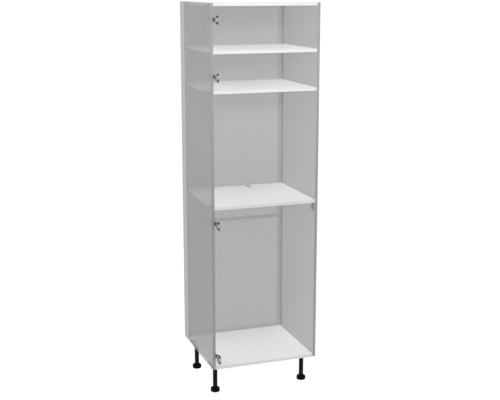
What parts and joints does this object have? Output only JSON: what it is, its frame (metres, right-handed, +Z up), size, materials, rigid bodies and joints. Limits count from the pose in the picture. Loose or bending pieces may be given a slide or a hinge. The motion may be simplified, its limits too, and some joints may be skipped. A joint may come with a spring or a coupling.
{
  "type": "tall kitchen cabinet",
  "caption": "Tall open-fronted kitchen cabinet for a built-in oven, with fixed and adjustable shelves, a split back, concealed door hinges and round adjustable legs.",
  "frame": {"origin": "on the floor, under the centre of the carcass's width and depth", "axes": "+Z up, the open front faces -Y, +X to the right seen from the front"},
  "size_m": [0.6, 0.6097, 2.114],
  "materials": {
    "ghost_board": "melamine-faced board, shown see-through grey",
    "ghost_back": "thin faced board, shown see-through grey",
    "white_board": "white melamine-faced board",
    "edge_band": "white edge band",
    "side_edge_band": "grey edge band",
    "strip_plastic": "grey extrusion",
    "clip_plastic": "pale grey moulding",
    "plate_metal": "grey coated sheet",
    "screw_steel": "zinc-plated",
    "cam_zinc": "die cast",
    "dowel_wood": "plain beech",
    "pin_steel": "nickel-plated",
    "leg_plastic": "black moulding",
    "foot_plastic": "black moulding",
    "hinge_steel": "dark nickel-plated",
    "cup_steel": "bright nickel-plated",
    "sleeve_plastic": "dark ribbed moulding"
  },
  "bodies": {
    "carcass": {"side_panel_left": "ghost_board", "side_panel_right": "ghost_board", "bottom_panel": "white_board", "oven_shelf": "white_board", "niche_shelf": "white_board", "top_panel": "white_board", "side_edge_bands": "side_edge_band", "fixed_board_edge_bands": "edge_band", "back_panel_lower": "ghost_back", "back_panel_upper": "ghost_back", "back_joint_strip": "strip_plastic", "back_clip": "clip_plastic", "back_clip_screws": "screw_steel", "angle_plate_left": "plate_metal", "angle_plate_right": "plate_metal", "angle_plate_screws": "screw_steel", "cam_housings": "cam_zinc", "cam_bolts": "screw_steel", "dowels": "dowel_wood", "shelf_pins": "pin_steel", "leg_sockets": "leg_plastic", "leg_socket_screws": "screw_steel", "leg_posts": "leg_plastic", "hinge_mounting_plates": "hinge_steel", "hinge_plate_screws": "screw_steel", "hinge_arms": "hinge_steel", "hinge_arm_screws": "screw_steel", "hinge_arm_pins": "hinge_steel"},
    "adjustable_shelf": {"adjustable_shelf": "white_board", "adjustable_shelf_edge_band": "edge_band"},
    "foot_front_left": {"foot_front_left": "foot_plastic"},
    "foot_rear_left": {"foot_rear_left": "foot_plastic"},
    "foot_front_right": {"foot_front_right": "foot_plastic"},
    "foot_rear_right": {"foot_rear_right": "foot_plastic"},
    "hinge_1_outer_link": {"hinge_outer_link_1": "hinge_steel"},
    "hinge_1_cup": {"hinge_cup_1": "cup_steel", "hinge_cup_pin_1": "hinge_steel", "hinge_cup_sleeves_1": "sleeve_plastic"},
    "hinge_1_inner_link": {"hinge_inner_link_1": "hinge_steel"},
    "hinge_2_outer_link": {"hinge_outer_link_2": "hinge_steel"},
    "hinge_2_cup": {"hinge_cup_2": "cup_steel", "hinge_cup_pin_2": "hinge_steel", "hinge_cup_sleeves_2": "sleeve_plastic"},
    "hinge_2_inner_link": {"hinge_inner_link_2": "hinge_steel"},
    "hinge_3_outer_link": {"hinge_outer_link_3": "hinge_steel"},
    "hinge_3_cup": {"hinge_cup_3": "cup_steel", "hinge_cup_pin_3": "hinge_steel", "hinge_cup_sleeves_3": "sleeve_plastic"},
    "hinge_3_inner_link": {"hinge_inner_link_3": "hinge_steel"},
    "hinge_4_outer_link": {"hinge_outer_link_4": "hinge_steel"},
    "hinge_4_cup": {"hinge_cup_4": "cup_steel", "hinge_cup_pin_4": "hinge_steel", "hinge_cup_sleeves_4": "sleeve_plastic"},
    "hinge_4_inner_link": {"hinge_inner_link_4": "hinge_steel"}
  },
  "joints": [
    {"name": "adjustable_shelf_slide", "type": "slide", "parent": "carcass", "child": "adjustable_shelf", "axis": [0, -1, 0], "range_m": [0, 0.045]},
    {"name": "foot_front_left_screw", "type": "slide", "parent": "carcass", "child": "foot_front_left", "axis": [0, 0, -1], "range_m": [0, 0.025]},
    {"name": "foot_rear_left_screw", "type": "slide", "parent": "carcass", "child": "foot_rear_left", "axis": [0, 0, -1], "range_m": [0, 0.025]},
    {"name": "foot_front_right_screw", "type": "slide", "parent": "carcass", "child": "foot_front_right", "axis": [0, 0, -1], "range_m": [0, 0.025]},
    {"name": "foot_rear_right_screw", "type": "slide", "parent": "carcass", "child": "foot_rear_right", "axis": [0, 0, -1], "range_m": [0, 0.025]},
    {"name": "hinge_1_door", "type": "hinge", "parent": "carcass", "child": "hinge_1_outer_link", "pos_m": [-0.268, -0.279, 0.235], "axis": [0, 0, 1], "range_deg": [-44.15, 2.45]},
    {"name": "hinge_1_cup_turn", "type": "hinge", "parent": "hinge_1_outer_link", "child": "hinge_1_cup", "pos_m": [-0.2764, -0.29914, 0.235], "axis": [0, 0, 1], "range_deg": [-7.46, 134.17]},
    {"name": "hinge_1_inner_turn", "type": "hinge", "parent": "carcass", "child": "hinge_1_inner_link", "pos_m": [-0.262, -0.273, 0.235], "axis": [0, 0, 1], "range_deg": [-42.09, 2.35]},
    {"name": "hinge_2_door", "type": "hinge", "parent": "carcass", "child": "hinge_2_outer_link", "pos_m": [-0.268, -0.279, 0.975], "axis": [0, 0, 1], "range_deg": [-44.15, 2.45]},
    {"name": "hinge_2_cup_turn", "type": "hinge", "parent": "hinge_2_outer_link", "child": "hinge_2_cup", "pos_m": [-0.2764, -0.29914, 0.975], "axis": [0, 0, 1], "range_deg": [-7.46, 134.17]},
    {"name": "hinge_2_inner_turn", "type": "hinge", "parent": "carcass", "child": "hinge_2_inner_link", "pos_m": [-0.262, -0.273, 0.975], "axis": [0, 0, 1], "range_deg": [-42.09, 2.35]},
    {"name": "hinge_3_door", "type": "hinge", "parent": "carcass", "child": "hinge_3_outer_link", "pos_m": [-0.268, -0.279, 1.744], "axis": [0, 0, 1], "range_deg": [-44.15, 2.45]},
    {"name": "hinge_3_cup_turn", "type": "hinge", "parent": "hinge_3_outer_link", "child": "hinge_3_cup", "pos_m": [-0.2764, -0.29914, 1.744], "axis": [0, 0, 1], "range_deg": [-7.46, 134.17]},
    {"name": "hinge_3_inner_turn", "type": "hinge", "parent": "carcass", "child": "hinge_3_inner_link", "pos_m": [-0.262, -0.273, 1.744], "axis": [0, 0, 1], "range_deg": [-42.09, 2.35]},
    {"name": "hinge_4_door", "type": "hinge", "parent": "carcass", "child": "hinge_4_outer_link", "pos_m": [-0.268, -0.279, 2.031], "axis": [0, 0, 1], "range_deg": [-44.15, 2.45]},
    {"name": "hinge_4_cup_turn", "type": "hinge", "parent": "hinge_4_outer_link", "child": "hinge_4_cup", "pos_m": [-0.2764, -0.29914, 2.031], "axis": [0, 0, 1], "range_deg": [-7.46, 134.17]},
    {"name": "hinge_4_inner_turn", "type": "hinge", "parent": "carcass", "child": "hinge_4_inner_link", "pos_m": [-0.262, -0.273, 2.031], "axis": [0, 0, 1], "range_deg": [-42.09, 2.35]}
  ],
  "couplings": [
    {"joint": "hinge_1_cup_turn", "follows": "hinge_1_door", "ratio": -3.0383},
    {"joint": "hinge_1_inner_turn", "follows": "hinge_1_door", "ratio": 0.95291},
    {"joint": "hinge_2_cup_turn", "follows": "hinge_2_door", "ratio": -3.0383},
    {"joint": "hinge_2_inner_turn", "follows": "hinge_2_door", "ratio": 0.95291},
    {"joint": "hinge_3_cup_turn", "follows": "hinge_3_door", "ratio": -3.0383},
    {"joint": "hinge_3_inner_turn", "follows": "hinge_3_door", "ratio": 0.95291},
    {"joint": "hinge_4_cup_turn", "follows": "hinge_4_door", "ratio": -3.0383},
    {"joint": "hinge_4_inner_turn", "follows": "hinge_4_door", "ratio": 0.95291}
  ]
}
